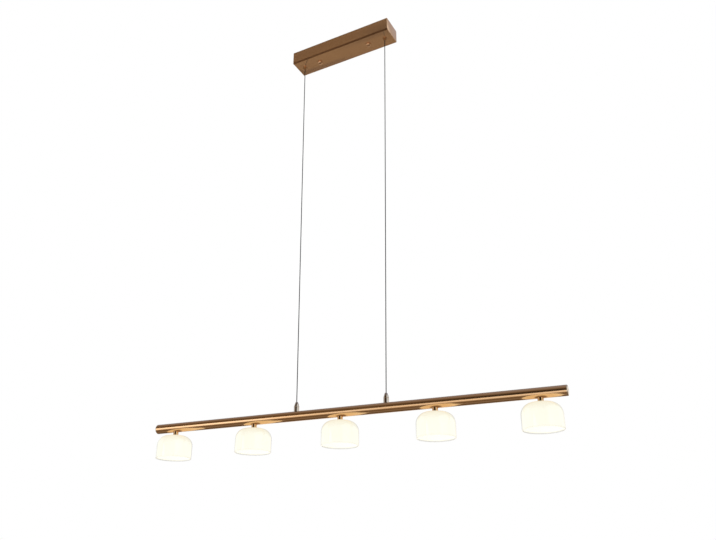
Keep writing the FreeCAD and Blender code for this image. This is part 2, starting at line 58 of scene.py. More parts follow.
def middle(node):
    low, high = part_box(node)
    return (low + high) / 2


neckPlaces = [middle("neck_%d" % number) for number in lampNumbers]
barRun = neckPlaces[-1] - neckPlaces[0]
barTurn = math.atan2(barRun.y, barRun.x)
lampSpacing = barRun.length / (len(neckPlaces) - 1)
barCentre = middle("bar_tube")
barRadius = (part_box("bar_tube")[1].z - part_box("bar_tube")[0].z) / 2
canopyLow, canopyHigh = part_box("canopy_cover")
nutsLow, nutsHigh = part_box("cap_nuts")
nutRadius = (nutsHigh.y - nutsLow.y) / 2
nutReach = (nutsHigh.x - nutsLow.x) / 2 - nutRadius


# Modelling helpers

def deselectAll():
    if bpy.context.object and bpy.context.object.mode != "OBJECT":
        bpy.ops.object.mode_set(mode="OBJECT")
    bpy.ops.object.select_all(action="DESELECT")


def pick(piece):
    deselectAll()
    piece.select_set(True)
    bpy.context.view_layer.objects.active = piece
    return piece


def settle(piece, location=(0, 0, 0), turn=(0, 0, 0)):
    # the place and the turn go into the mesh, and the object stays at the origin
    pick(piece)
    piece.location = location
    piece.rotation_euler = turn
    bpy.ops.object.transform_apply(location=True, rotation=True, scale=True)
    return piece


def applyModifiers(piece):
    pick(piece)
    for modifier in list(piece.modifiers):
        bpy.ops.object.modifier_apply(modifier=modifier.name)


def smooth(piece, angle=35):
    pick(piece)
    bpy.ops.object.shade_smooth_by_angle(angle=math.radians(angle))
    return piece


def arc(centreAcross, centreUp, radius, start, end, steps):
    # points on an arc with both its ends, angles in degrees
    turns = [math.radians(start + (end - start) * step / steps) for step in range(steps + 1)]
    return [
        (centreAcross + radius * math.cos(turn), centreUp + radius * math.sin(turn))
        for turn in turns
    ]


def turned(name, outline, steps=96):
    # as on a lathe: the outline is drawn in the XZ plane, point by point, then spun round Z
    deselectAll()
    bpy.ops.mesh.primitive_plane_add(size=mm, location=(outline[0][0], 0, outline[0][1]))
    piece = bpy.context.object
    piece.name = name
    bpy.ops.object.transform_apply(location=True, rotation=True, scale=True)
    bpy.ops.object.mode_set(mode="EDIT")
    bpy.ops.mesh.select_mode(type="VERT")
    bpy.ops.mesh.select_all(action="SELECT")
    bpy.ops.mesh.merge(type="CENTER")
    for here, after in zip(outline, outline[1:]):
        step = (after[0] - here[0], 0, after[1] - here[1])
        bpy.ops.mesh.extrude_region_move(TRANSFORM_OT_translate={"value": step})
    bpy.ops.mesh.select_all(action="SELECT")
    bpy.ops.mesh.spin(steps=steps, angle=2 * math.pi, center=(0, 0, 0), axis=(0, 0, 1))
    bpy.ops.mesh.select_all(action="SELECT")
    bpy.ops.mesh.remove_doubles(threshold=0.002 * mm)
    bpy.ops.mesh.normals_make_consistent(inside=False)
    bpy.ops.object.mode_set(mode="OBJECT")
    return smooth(piece)


def wound(piece, turns, rise, steps, angle):
    # swept round and along Z, then closed at both ends
    winding = piece.modifiers.new("winding", "SCREW")
    winding.axis = "Z"
    winding.iterations = turns
    winding.screw_offset = rise / turns
    winding.steps = steps
    winding.render_steps = steps
    winding.use_merge_vertices = False
    applyModifiers(piece)
    bpy.ops.object.mode_set(mode="EDIT")
    bpy.ops.mesh.select_mode(type="EDGE")
    bpy.ops.mesh.select_all(action="DESELECT")
    bpy.ops.mesh.select_non_manifold(extend=False)
    bpy.ops.mesh.edge_face_add()
    bpy.ops.mesh.select_all(action="SELECT")
    bpy.ops.mesh.normals_make_consistent(inside=False)
    bpy.ops.object.mode_set(mode="OBJECT")
    return smooth(piece, angle)


def twin(piece, name):
    # a copy with its own mesh
    copy = piece.copy()
    copy.data = piece.data.copy()
    copy.name = name
    bpy.context.scene.collection.objects.link(copy)
    return copy


def combine(piece, other, operation="DIFFERENCE"):
    # the other piece is used up
    change = piece.modifiers.new("change", "BOOLEAN")
    change.operation = operation
    change.solver = "EXACT"
    change.object = other
    applyModifiers(piece)
    bpy.data.objects.remove(other)
    return smooth(piece)


def rod(radius, low, high, x=0.0, steps=48):
    # an upright rod, for cutting with and for shanks
    deselectAll()
    bpy.ops.mesh.primitive_cylinder_add(
        vertices=steps, radius=radius, depth=high - low, location=(x, 0, (low + high) / 2))
    bpy.ops.object.transform_apply(location=True, rotation=True, scale=True)
    return bpy.context.object


def tubeCutter():
    # a rod as thick as the tube, along X at the origin
    cutter = rod(barRadius, -50 * mm, 50 * mm, steps=192)
    return settle(cutter, turn=(0, math.pi / 2, 0))


def dress(piece, body, material, slot, *replaced):
    piece.data.materials.clear()
    piece.data.materials.append(material)
    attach(piece, body)
    if replaced:
        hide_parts(*replaced)
    return piece


# Shader helpers

noiseRun = (0.3, 0.7)  # most of a noise lies between these
noiseCore = (0.35, 0.65)


class Wire:
    # a node's output that can stand in a sum
    def __init__(self, book, socket):
        self.book = book
        self.socket = socket

    def also(self, name):
        return Wire(self.book, self.socket.node.outputs[name])

    def __add__(self, other):
        return self.book.maths("ADD", self, other)

    def __sub__(self, other):
        return self.book.maths("SUBTRACT", self, other)

    def __mul__(self, other):
        return self.book.maths("MULTIPLY", self, other)

    def __truediv__(self, other):
        return self.book.maths("DIVIDE", self, other)


class NodeBook:
    # the nodes of one material, or of the world
    def __init__(self, owner):
        owner.use_nodes = True
        self.owner = owner
        self.nodes = owner.node_tree.nodes
        self.links = owner.node_tree.links

    def add(self, kind, settings=None, sockets=None, result=0):
        node = self.nodes.new(kind)
        for name, value in (settings or {}).items():
            if name == "stops":
                ramp = node.color_ramp
                while len(ramp.elements) < len(value):
                    ramp.elements.new(0.5)
                for element, (position, colour) in zip(ramp.elements, value):
                    element.position = position
                    element.color = (*colour, 1)
            else:
                setattr(node, name, value)
        for name, value in (sockets or {}).items():
            self.join(value, node.inputs[name])
        return Wire(self, node.outputs[result]) if node.outputs else node

    def join(self, value, socket):
        if isinstance(value, Wire):
            self.links.new(value.socket, socket)
        else:
            socket.default_value = value

    def maths(self, operation, first, second=0.0):
        return self.add("ShaderNodeMath", {"operation": operation}, {0: first, 1: second})

    def place(self):
        return self.add("ShaderNodeTexCoord", result="Object")

    def stretched(self, scale, turn=0.0):
        return self.add("ShaderNodeMapping", {},
                        {"Vector": self.place(), "Rotation": (0, 0, turn), "Scale": scale})

    def noise(self, vector, scale, detail=3.0):
        return self.add("ShaderNodeTexNoise", {},
                        {"Vector": vector, "Scale": scale, "Detail": detail})

    def blend(self, factor, first, second):
        # sockets 6 and 7 and output 2 are the mix node's colours
        return self.add("ShaderNodeMix", {"data_type": "RGBA"},
                        {0: factor, 6: first, 7: second}, result=2)

    def span(self, value, low, high, bottom=0.0, top=1.0):
        # value from low to high becomes bottom to top, and stays within them
        return self.add("ShaderNodeMapRange", {}, {0: value, 1: low, 2: high, 3: bottom, 4: top})

    def bump(self, height, strength, distance):
        return self.add("ShaderNodeBump", {},
                        {"Height": height, "Strength": strength, "Distance": distance})


def finish(name, constants, varying):
    # constants go on the shader's own sockets, and varying draws what changes over the surface
    book = NodeBook(bpy.data.materials.new(name))
    surface = book.nodes["Principled BSDF"]
    for socket, value in constants.items():
        surface.inputs[socket].default_value = value
    for socket, wire in varying(book).items():
        book.join(wire, surface.inputs[socket])
    return book.owner


# Metals

paintLook = {
    "tone": (0.82, 0.49, 0.275, 1),
    "warmTone": (0.86, 0.52, 0.270, 1),
    "patchShare": 0.6,
    "flakeShare": 0.25,
    "flakeRun": (0.45, 0.75),
    # a line of painted shade along the folded lower front edge, and how far it reaches
    "foldShadeTone": (0.24, 0.105, 0.036, 1),
    "foldShadeReach": (2.2 * mm, 4.8 * mm),
    "roughness": (0.07, 0.11),
    "metal": 0.85,
    "coat": 0.3,
    "coatRoughness": 0.1,
    "patches": 7,
    "flakes": 2600,
    "grain": 900,
    "grainStrength": 0.25,
    "grainDepth": 0.004 * mm,
}


def paintNodes(book):
    patches = book.noise(book.place(), paintLook["patches"], 2)
    flakes = book.noise(book.place(), paintLook["flakes"], 1)
    grain = book.noise(book.place(), paintLook["grain"], 2)
    mottle = book.span(patches, *noiseCore, 0, paintLook["patchShare"])
    mottle = mottle + book.span(flakes, *paintLook["flakeRun"], 0, paintLook["flakeShare"])
    paint = book.blend(mottle, paintLook["tone"], paintLook["warmTone"])
    # the sheet is folded at the lower front edge, and a dark line of painted shade is laid along
    # the fold
    across = book.add("ShaderNodeSeparateXYZ", {}, {0: book.place()})
    behind = across.also("Y") - canopyLow.y
    fromShadedFold = book.maths("MAXIMUM", behind, across.also("Z") - canopyLow.z)
    foldShade = book.span(fromShadedFold, *paintLook["foldShadeReach"], 1, 0)
    return {
        "Base Color": book.blend(foldShade, paint, paintLook["foldShadeTone"]),
        "Roughness": book.span(patches, *noiseRun, *paintLook["roughness"]),
        "Normal": book.bump(grain, paintLook["grainStrength"], paintLook["grainDepth"]),
    }


bronzePaint = finish("bronzePaint", {
    "Metallic": paintLook["metal"],
    "Coat Weight": paintLook["coat"],
    "Coat Roughness": paintLook["coatRoughness"],
}, paintNodes)

barLook = {
    "tone": (0.84, 0.545, 0.300, 1),
    "redTone": (0.82, 0.505, 0.260, 1),
    "roughness": (0.13, 0.20),
    "wear": 9,
    "brush": 3,
    "brushScale": (6, 420, 420),
    "brushStrength": 0.12,
    "brushDepth": 0.01 * mm,
}


def barNodes(book):
    along = book.stretched(barLook["brushScale"], -barTurn)
    brush = book.noise(along, barLook["brush"])
    wear = book.noise(book.place(), barLook["wear"], 2)
    return {
        "Base Color": book.blend(book.span(wear, *noiseCore), barLook["tone"], barLook["redTone"]),
        "Roughness": book.span(brush, *noiseRun, *barLook["roughness"]),
        "Normal": book.bump(brush, barLook["brushStrength"], barLook["brushDepth"]),
    }


barBrass = finish("barBrass", {"Metallic": 1.0}, barNodes)


polishLook = {
    "haze": 140,
    "hazeRun": (0.35, 0.7),
    "gloss": (0.8, 1.3),
    "marks": 260,
    "marksScale": (1, 1, 14),
    "marksStrength": 0.06,
    "marksDepth": 0.01 * mm,
}


def polished(name, tone, otherTone, roughness):
    low, high = polishLook["gloss"]

    def polishedNodes(book):
        haze = book.noise(book.place(), polishLook["haze"])
        marks = book.noise(book.stretched(polishLook["marksScale"]), polishLook["marks"], 2)
        return {
            "Base Color": book.blend(book.span(haze, *polishLook["hazeRun"]), tone, otherTone),
            "Roughness": book.span(haze, *noiseRun, roughness * low, roughness * high),
            "Normal": book.bump(marks, polishLook["marksStrength"], polishLook["marksDepth"]),
        }
    return finish(name, {"Metallic": 1.0}, polishedNodes)


neckBrass = polished("neckBrass", (0.82, 0.52, 0.26, 1), (0.76, 0.44, 0.20, 1), 0.06)
nutBrass = polished("nutBrass", (0.86, 0.57, 0.35, 1), (0.78, 0.49, 0.28, 1), 0.16)
gripBrass = polished("gripBrass", (0.84, 0.59, 0.39, 1), (0.76, 0.51, 0.31, 1), 0.18)
capBrass = polished("capBrass", (0.82, 0.68, 0.52, 1), (0.76, 0.62, 0.46, 1), 0.14)
couplerMetal = polished("couplerMetal", (0.66, 0.56, 0.47, 1), (0.56, 0.44, 0.34, 1), 0.06)
turnedBrass = polished("turnedBrass", (0.74, 0.56, 0.28, 1), (0.66, 0.47, 0.21, 1), 0.22)
ballSteel = polished("ballSteel", (0.66, 0.66, 0.66, 1), (0.58, 0.58, 0.59, 1), 0.10)
springSteel = polished("springSteel", (0.46, 0.46, 0.48, 1), (0.36, 0.36, 0.38, 1), 0.30)


zincLook = {
    "tone": (0.60, 0.61, 0.62, 1),
    "darkTone": (0.48, 0.50, 0.52, 1),
    "roughness": (0.32, 0.5),
    "spangle": 160.0,
    "spangleRun": (0.1, 0.8),
    "smear": 60,
    "smearScale": (1, 6, 1),
    "smearStrength": 0.08,
    "smearDepth": 0.02 * mm,
}


def zincNodes(book):
    spangle = book.add("ShaderNodeTexVoronoi", {},
                       {"Vector": book.place(), "Scale": zincLook["spangle"]}, result="Distance")
    spangle = book.span(spangle, *zincLook["spangleRun"])
    smear = book.noise(book.stretched(zincLook["smearScale"]), zincLook["smear"])
    return {
        "Base Color": book.blend(spangle, zincLook["tone"], zincLook["darkTone"]),
        "Roughness": book.span(smear, *noiseRun, *zincLook["roughness"]),
        "Normal": book.bump(smear, zincLook["smearStrength"], zincLook["smearDepth"]),
    }


zincSteel = finish("zincSteel", {"Metallic": 1.0}, zincNodes)


strandLook = {
    "tone": (0.020, 0.019, 0.018, 1),
    "darkTone": (0.010, 0.010, 0.010, 1),
    "roughness": (0.40, 0.55),
    "shine": 0.15,
    "dirt": 300,
}


def strandNodes(book):
    dirt = book.noise(book.place(), strandLook["dirt"])
    tone = book.blend(book.span(dirt, *noiseCore), strandLook["tone"], strandLook["darkTone"])
    return {
        "Base Color": tone,
        "Roughness": book.span(dirt, *noiseRun, *strandLook["roughness"]),
    }


cableSteel = finish("cableSteel", {"Specular IOR Level": strandLook["shine"]}, strandNodes)


# Glass and plastics

glassLook = {
    "glowTone": (0.98, 0.95, 0.78, 1),
    # a painted reflection of the brass bar, warmer toward the crown
    "crownReflectionTone": (1.0, 0.90, 0.64, 1),
    "crownReflectionDepth": (20 * mm, 2 * mm),
    # painted shade on the rim's edge
    "rimShadeTone": (0.50, 0.50, 0.48, 1),
    "rimHeight": (2 * mm, 4 * mm),
    "rimWall": (1.4 * mm, 2.2 * mm),
    "rimOutside": 0.2,
    # painted shade where the glass is seen at a slant
    "edgeShadeTone": (0.46, 0.45, 0.41, 1),
    "edgeShadeRun": (0.58, 0.90),
    "shoulderDepth": (26 * mm, 10 * mm),
    "shoulderShare": 0.45,
    "neckShade": (0.22, 0.16, 0.09, 1),
    "neckReach": (12 * mm, 17 * mm),
    "neckDepth": (8 * mm, 5 * mm),
    "bodyTone": (0.31, 0.305, 0.29, 1),
    "bodyDarkTone": (0.28, 0.275, 0.26, 1),
    "roughness": (0.06, 0.10),
    "cloud": 22,
    "glow": 0.80,
    "coat": 0.1,
}
shadeLow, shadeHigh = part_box("shade_glass_1")
shadeRadius = (shadeHigh.y - shadeLow.y) / 2


def fromLampAxis(book):
    # how far a point is from the axis of the lamp that it belongs to
    across = book.add("ShaderNodeSeparateXYZ", {}, {0: book.place()})
    along = across * math.cos(barTurn) + across.also("Y") * math.sin(barTurn)
    aside = across.also("Y") * math.cos(barTurn) - across * math.sin(barTurn)
    lamp = book.maths("ROUND", along / lampSpacing)
    ahead = along - lamp * lampSpacing
    return book.maths("SQRT", ahead * ahead + aside * aside)


def opalNodes(book):
    height = book.add("ShaderNodeSeparateXYZ", {}, {0: book.place()}, result="Z")
    cloud = book.noise(book.place(), glassLook["cloud"], 2)
    fromAxis = fromLampAxis(book)

    def belowTop(key, bottom=0.0, top=1.0):
        far, near = glassLook[key]
        return book.span(height, shadeHigh.z - far, shadeHigh.z - near, bottom, top)

    # painted reflection: the lamp's glow turns warmer toward the crown, as if the brass bar above
    # were mirrored in it
    glow = book.blend(belowTop("crownReflectionDepth"), glassLook["glowTone"], glassLook["crownReflectionTone"])
    # painted shade: the rim's own edge is painted dim, more so inside the shade
    near, far = glassLook["rimHeight"]
    rim = book.span(height, shadeLow.z + near, shadeLow.z + far, 1, 0)
    near, far = glassLook["rimWall"]
    dim = glassLook["rimOutside"]
    rim = rim * book.span(fromAxis, shadeRadius - near, shadeRadius - far, dim, 1)
    glow = book.blend(rim, glow, glassLook["rimShadeTone"])
    # painted shade: the glow is greyed where the eye meets the glass at a slant, and less so high
    # on the shoulder
    slant = book.add("ShaderNodeLayerWeight", {}, {"Blend": 0.5}, result="Facing")
    shoulder = belowTop("shoulderDepth", 1, glassLook["shoulderShare"])
    edgeShade = book.span(slant, *glassLook["edgeShadeRun"]) * shoulder
    glow = book.blend(edgeShade, glow, glassLook["edgeShadeTone"])
    # no light comes out through the seat under the neck
    seat = book.span(fromAxis, *glassLook["neckReach"], 1, 0) * belowTop("neckDepth")
    glow = book.blend(seat, glow, glassLook["neckShade"])
    clouds = book.span(cloud, *noiseRun)
    return {
        "Emission Color": glow,
        "Base Color": book.blend(clouds, glassLook["bodyTone"], glassLook["bodyDarkTone"]),
        "Roughness": book.span(cloud, *noiseRun, *glassLook["roughness"]),
    }


opalGlass = finish("opalGlass", {
    "Emission Strength": glassLook["glow"],
    "IOR": 1.5,
    "Coat Weight": glassLook["coat"],
}, opalNodes)

diffuserTones = {
    "glow": 1.5,
    "glowTone": (1.0, 0.95, 0.84, 1),
    "warmTone": (1.0, 0.93, 0.80, 1),
    "bodyTone": (0.92, 0.91, 0.88, 1),
    "bodyDarkTone": (0.88, 0.87, 0.84, 1),
    "roughness": 0.45,
    "frost": 1500,
    "frostStrength": 0.1,
    "frostDepth": 0.03 * mm,
    "cloud": 30,
}


def frostNodes(book):
    frost = book.noise(book.place(), diffuserTones["frost"], 2)
    cloud = book.noise(book.place(), diffuserTones["cloud"], 2)
    return {
        "Emission Color": book.blend(cloud, diffuserTones["glowTone"], diffuserTones["warmTone"]),
        "Base Color": book.blend(cloud, diffuserTones["bodyTone"], diffuserTones["bodyDarkTone"]),
        "Normal": book.bump(frost, diffuserTones["frostStrength"], diffuserTones["frostDepth"]),
    }


opalDiffuser = finish("opalDiffuser", {
    "Emission Strength": diffuserTones["glow"],
    "Roughness": diffuserTones["roughness"],
}, frostNodes)

mouldLook = {"cloud": 35, "gloss": (0.85, 1.15), "grainStrength": 0.15, "grainDepth": 0.04 * mm}


def moulded(name, tone, otherTone, roughness, grain=700):
    low, high = mouldLook["gloss"]

    def mouldedNodes(book):
        cloud = book.noise(book.place(), mouldLook["cloud"], 2)
        texture = book.noise(book.place(), grain, 2)
        return {
            "Base Color": book.blend(book.span(cloud, *noiseRun), tone, otherTone),
            "Roughness": book.span(texture, *noiseRun, roughness * low, roughness * high),
            "Normal": book.bump(texture, mouldLook["grainStrength"], mouldLook["grainDepth"]),
        }
    return finish(name, {}, mouldedNodes)


whitePlastic = moulded("whitePlastic", (0.78, 0.78, 0.75, 1), (0.72, 0.72, 0.69, 1), 0.5)
castWhite = moulded("castWhite", (0.80, 0.80, 0.78, 1), (0.74, 0.74, 0.72, 1), 0.42, 400)
boardWhite = moulded("boardWhite", (0.86, 0.86, 0.83, 1), (0.80, 0.80, 0.77, 1), 0.35, 1200)
silicone = moulded("silicone", (0.66, 0.66, 0.63, 1), (0.60, 0.60, 0.57, 1), 0.4)
redInsulation = moulded("redInsulation", (0.42, 0.025, 0.018, 1), (0.36, 0.02, 0.015, 1), 0.42)
blackInsulation = moulded(
    "blackInsulation", (0.018, 0.018, 0.019, 1), (0.028, 0.028, 0.030, 1), 0.42)
brownInsulation = moulded(
    "brownInsulation", (0.130, 0.058, 0.028, 1), (0.110, 0.048, 0.024, 1), 0.42)

earthLook = {
    "green": (0.08, 0.33, 0.04, 1),
    "yellow": (0.72, 0.58, 0.04, 1),
    "roughness": (0.36, 0.5),
    "bands": 60.0,
    "bandEdge": (0.45, 0.55),
    "scuffs": 500,
}


def earthNodes(book):
    bands = book.add("ShaderNodeTexWave", {"bands_direction": "DIAGONAL"},
                     {"Vector": book.place(), "Scale": earthLook["bands"]})
    scuffs = book.noise(book.place(), earthLook["scuffs"])
    return {
        "Base Color": book.blend(
            book.span(bands, *earthLook["bandEdge"]), earthLook["green"], earthLook["yellow"]),
        "Roughness": book.span(scuffs, *noiseRun, *earthLook["roughness"]),
    }


earthInsulation = finish("earthInsulation", {}, earthNodes)
print("finishes made:", len(bpy.data.materials))


# Canopy cover: a cube pulled to size, opened at the top, rounded, and made as thick as the sheet

coverLook = {
    "sheet": 1.2 * mm,
    "cornerRadius": 1.2 * mm,
    "cornerSteps": 4,
    "studHole": 2.65 * mm,
    "gripHole": 5.15 * mm,
}


def makeCanopyCover():
    size = canopyHigh - canopyLow
    deselectAll()
    bpy.ops.mesh.primitive_cube_add(size=1)
    cover = bpy.context.object
    cover.name = "canopyCover"
    cover.scale = size
    settle(cover, middle("canopy_cover"))
    bpy.ops.object.mode_set(mode="EDIT")
    bpy.ops.mesh.select_mode(type="FACE")
    bpy.ops.mesh.select_all(action="DESELECT")
    bpy.ops.object.mode_set(mode="OBJECT")
    for face in cover.data.polygons:
        face.select = face.normal.z > 0.9
    bpy.ops.object.mode_set(mode="EDIT")
    bpy.ops.mesh.delete(type="FACE")
    bpy.ops.mesh.select_mode(type="EDGE")
    bpy.ops.mesh.select_all(action="DESELECT")
    bpy.ops.object.mode_set(mode="OBJECT")
    corners = cover.data.vertices
    for edge in cover.data.edges:
        # the open top edge stays sharp
        lowest = min(corners[corner].co.z for corner in edge.vertices)
        edge.select = lowest < canopyHigh.z - size.z / 2
    bpy.ops.object.mode_set(mode="EDIT")
    bpy.ops.mesh.bevel(
        offset=coverLook["cornerRadius"], segments=coverLook["cornerSteps"], affect="EDGES")
    bpy.ops.mesh.select_all(action="SELECT")
    bpy.ops.mesh.normals_make_consistent(inside=False)
    bpy.ops.object.mode_set(mode="OBJECT")
    shell = cover.modifiers.new("sheet", "SOLIDIFY")
    shell.thickness = coverLook["sheet"]
    shell.offset = -1
    applyModifiers(cover)
    gripReach = middle("right_grip_body").x
    for radius, reach in ((coverLook["studHole"], nutReach), (coverLook["gripHole"], gripReach)):
        for x in (-reach, reach):
            combine(cover, rod(radius, canopyLow.z - 10 * mm, canopyLow.z + 10 * mm, x))
    smooth(cover, 40)
    dress(cover, "canopy", bronzePaint, "bronze_paint", "canopy_cover")


makeCanopyCover()
print("canopy cover made")


# Cap nuts, domed, with a plain band above the dome

nutLook = {"band": 3.5 * mm, "chamfer": 0.5 * mm, "lip": 0.4 * mm, "steps": 14}


def makeCapNuts():
    chamfer = nutLook["chamfer"]
    bandFoot = nutsHigh.z - nutLook["band"]
    domeHeight = bandFoot - nutsLow.z
    domeWidth = nutRadius - nutLook["lip"]
    ball = (domeWidth ** 2 + domeHeight ** 2) / (2 * domeHeight)
    edge = math.degrees(math.asin(domeWidth / ball))
    outline = arc(0, nutsLow.z + ball, ball, -90, -90 + edge, nutLook["steps"])
    outline += [
        (nutRadius - chamfer / 2, bandFoot),
        (nutRadius, bandFoot + chamfer / 2),
        (nutRadius, nutsHigh.z - chamfer),
        (nutRadius - chamfer, nutsHigh.z),
        (0, nutsHigh.z),
    ]
    first = turned("capNutLeft", outline, 64)
    second = twin(first, "capNutRight")
    settle(first, (-nutReach, 0, 0))
    settle(second, (nutReach, 0, 0))
    for nut in (first, second):
        dress(nut, "canopy", nutBrass, "polished_brass", "cap_nuts")


makeCapNuts()
print("cap nuts made")


# Cable grips: a low flange under the canopy, and the plunger's release tip below it

gripLook = {
    "chamfer": 0.9 * mm,
    "guide": 3.1 * mm,
    "shank": 5.0 * mm,
    "cableHole": 1.75 * mm,
    "tipHeight": 2.5 * mm,
    "tipChamfer": 0.63 * mm,
    "stem": 2.8 * mm,
    # the cone that presses the balls on the cable: its wide end, and how deep it starts and ends
    "coneTop": 4.0 * mm,
    "coneStart": 3 * mm,
    "coneEnd": 16 * mm,
}


def makeGrip(side):
    low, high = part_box(side + "_grip_body")
    centre = (low + high) / 2
    radius = (high.y - low.y) / 2
    chamfer = gripLook["chamfer"]
    outline = [
        (gripLook["guide"], low.z),
        (radius - chamfer, low.z),
        (radius, low.z + chamfer),
        (radius, canopyLow.z),
        (gripLook["shank"], canopyLow.z),
        (gripLook["shank"], high.z - chamfer),
        (gripLook["shank"] - chamfer, high.z),
        (gripLook["cableHole"], high.z),
        (gripLook["cableHole"], high.z - gripLook["coneStart"]),
        (gripLook["coneTop"], high.z - gripLook["coneStart"]),
        (gripLook["guide"], high.z - gripLook["coneEnd"]),
        (gripLook["guide"], low.z),
    ]
    head = settle(turned(side + "GripBody", outline, 64), (centre.x, centre.y, 0))
    dress(head, "canopy", gripBrass, "grip_metal", side + "_grip_body")

    low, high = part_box(side + "_grip_plunger")
    radius = (high.y - low.y) / 2
    shoulder = low.z + gripLook["tipHeight"]
    chamfer = gripLook["tipChamfer"]
    outline = [
        (gripLook["cableHole"], low.z),
        (radius - chamfer, low.z),
        (radius, low.z + chamfer),
        (radius, shoulder - chamfer / 2),
        (radius - chamfer / 2, shoulder),
        (gripLook["stem"], shoulder),
        (gripLook["stem"], high.z),
        (gripLook["cableHole"], high.z),
        (gripLook["cableHole"], low.z),
    ]
    tip = settle(turned(side + "GripPlunger", outline, 48), (centre.x, centre.y, 0))
    dress(tip, side + "_plunger", gripBrass, "grip_metal", side + "_grip_plunger")


for side in sides:
    makeGrip(side)
print("cable grips made")


# Springs in the grips: a round wire wound above the plunger, shorter as the plunger is pressed up

springLook = {"wire": 0.6 * mm, "turns": 4, "stepsPerTurn": 40, "wireSides": 16}


def makeSpring(side):
    low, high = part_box(side + "_grip_spring")
    wire = springLook["wire"]
    coil = (high.y - low.y - wire) / 2
    deselectAll()
    bpy.ops.mesh.primitive_circle_add(vertices=springLook["wireSides"], radius=wire / 2)
    spring = bpy.context.object
    spring.name = side + "GripSpring"
    settle(spring, (coil, 0, low.z + wire / 2), (math.pi / 2, 0, 0))
    rise = high.z - low.z - wire
    wound(spring, springLook["turns"], rise, springLook["stepsPerTurn"], 60)
    x = middle(side + "_grip_body").x
    settle(spring, (x, 0, 0))
    dress(spring, "canopy", springSteel, "spring_steel", side + "_grip_spring")
    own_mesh(spring)


for side in sides:
    makeSpring(side)
print("springs made")


# Suspension cables: a six-strand section twisted along a straight route

cableLook = {"diameter": 2.5 * mm, "strands": 6, "valley": 0.88, "lay": 14 * mm, "stepsPerLay": 10}
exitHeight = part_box("left_cable")[1].z
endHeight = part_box("left_cable")[0].z


def routeLine(name, points):
    # the cable's own line: a smooth spline through the route, read back as points
    curve = bpy.data.curves.new(name, "CURVE")
    curve.dimensions = "3D"
    spline = curve.splines.new("NURBS")
    spline.points.add(len(points) - 1)
    for knot, point in zip(spline.points, points):
        knot.co = (*point, 1)
    spline.order_u = 3
    spline.use_endpoint_u = True
    route = bpy.data.objects.new(name, curve)
    bpy.context.scene.collection.objects.link(route)
    line = bpy.data.meshes.new_from_object(route)
    places = [vertex.co.copy() for vertex in line.vertices]
    bpy.data.objects.remove(route)
    return places


def makeCable(side):
    gripPlace = middle(side + "_grip_body")
    top = Vector((gripPlace.x, 0, exitHeight))
    endPlace = middle(side + "_cable_end")
    bottom = Vector((endPlace.x, endPlace.y, endHeight))
    line = routeLine(side + "CableRoute", [top, (top + bottom) / 2, bottom])
    run = line[-1] - line[0]
    diameter = cableLook["diameter"]
    deselectAll()
    bpy.ops.mesh.primitive_circle_add(vertices=2 * cableLook["strands"], radius=diameter / 2)
    cable = bpy.context.object
    cable.name = side + "Cable"
    for index, corner in enumerate(cable.data.vertices):
        # every second corner is drawn in, as the valley between two strands
        if index % 2:
            corner.co *= cableLook["valley"]
    twists = round(run.length / cableLook["lay"])
    wound(cable, twists, -run.length, cableLook["stepsPerLay"], 80)
    settle(cable, line[0], run.to_track_quat("-Z", "Y").to_euler())
    dress(cable, side + "_cable", cableSteel, "steel_cable", side + "_cable")
    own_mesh(cable)


for side in sides:
    makeCable(side)
print("cables made")


# Bar: a drawn tube, closed by a flanged cap at each end

tubeLook = {"wall": 1.5 * mm, "chamfer": 0.15 * mm, "hole": 5.15 * mm}
capLook = {
    "flange": 3.0 * mm,
    "rounding": 2.2 * mm,
    "plug": 12 * mm,
    "plugWall": 1.5 * mm,
    "play": 0.1 * mm,
}


def acrossBar(piece, turn=0.0):
    # from upright at the origin to lying along the bar
    settle(piece, (0, 0, 0), (0, math.pi / 2, 0))
    settle(piece, (0, 0, 0), (0, 0, turn))
    return settle(piece, barCentre, (0, 0, barTurn))


def alongBar(place):
    return (place - barCentre).to_2d().dot(barRun.to_2d().normalized())


def makeBar():
    tubeLow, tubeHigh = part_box("bar_tube")
    half = ((tubeHigh.x - tubeLow.x) / 2 - barRadius * math.sin(barTurn)) / math.cos(barTurn)
    bore = barRadius - tubeLook["wall"]
    chamfer = tubeLook["chamfer"]
    outline = [
        (bore, -half),
        (barRadius - chamfer, -half),
        (barRadius, -half + chamfer),
        (barRadius, half - chamfer),
        (barRadius - chamfer, half),
        (bore, half),
        (bore, -half),
    ]
    tube = settle(turned("barTube", outline, 160), turn=(0, math.pi / 2, 0))
    for spot in neckPlaces:
        combine(tube, rod(tubeLook["hole"], -2 * barRadius, 0, alongBar(spot)))
    for side in sides:
        spot = middle(side + "_coupler_body")
        combine(tube, rod(tubeLook["hole"], 0, 2 * barRadius, alongBar(spot)))
    settle(tube, barCentre, (0, 0, barTurn))
    dress(tube, "bar", barBrass, "bar_brass", "bar_tube")

    flange = capLook["flange"]
    rounding = capLook["rounding"]
    plugRadius = bore - capLook["play"]
    outline = [(0, half + flange)]
    outline += arc(barRadius - rounding, half + flange - rounding, rounding, 90, 0, 6)
    outline += [
        (barRadius, half + chamfer),
        (barRadius - chamfer, half),
        (plugRadius, half),
        (plugRadius, half - capLook["plug"]),
        (plugRadius - capLook["plugWall"], half - capLook["plug"]),
        (plugRadius - capLook["plugWall"], half),
        (0, half),
    ]
    right = turned("rightEndCap", outline, 160)
    left = twin(right, "leftEndCap")
    acrossBar(right)
    acrossBar(left, math.pi)
    dress(right, "bar", capBrass, "bar_brass", "right_end_cap")
    dress(left, "bar", capBrass, "bar_brass", "left_end_cap")


makeBar()
print("bar made")


# Couplers: a body that sits on the tube's back, and a tapered nose that the cable goes into

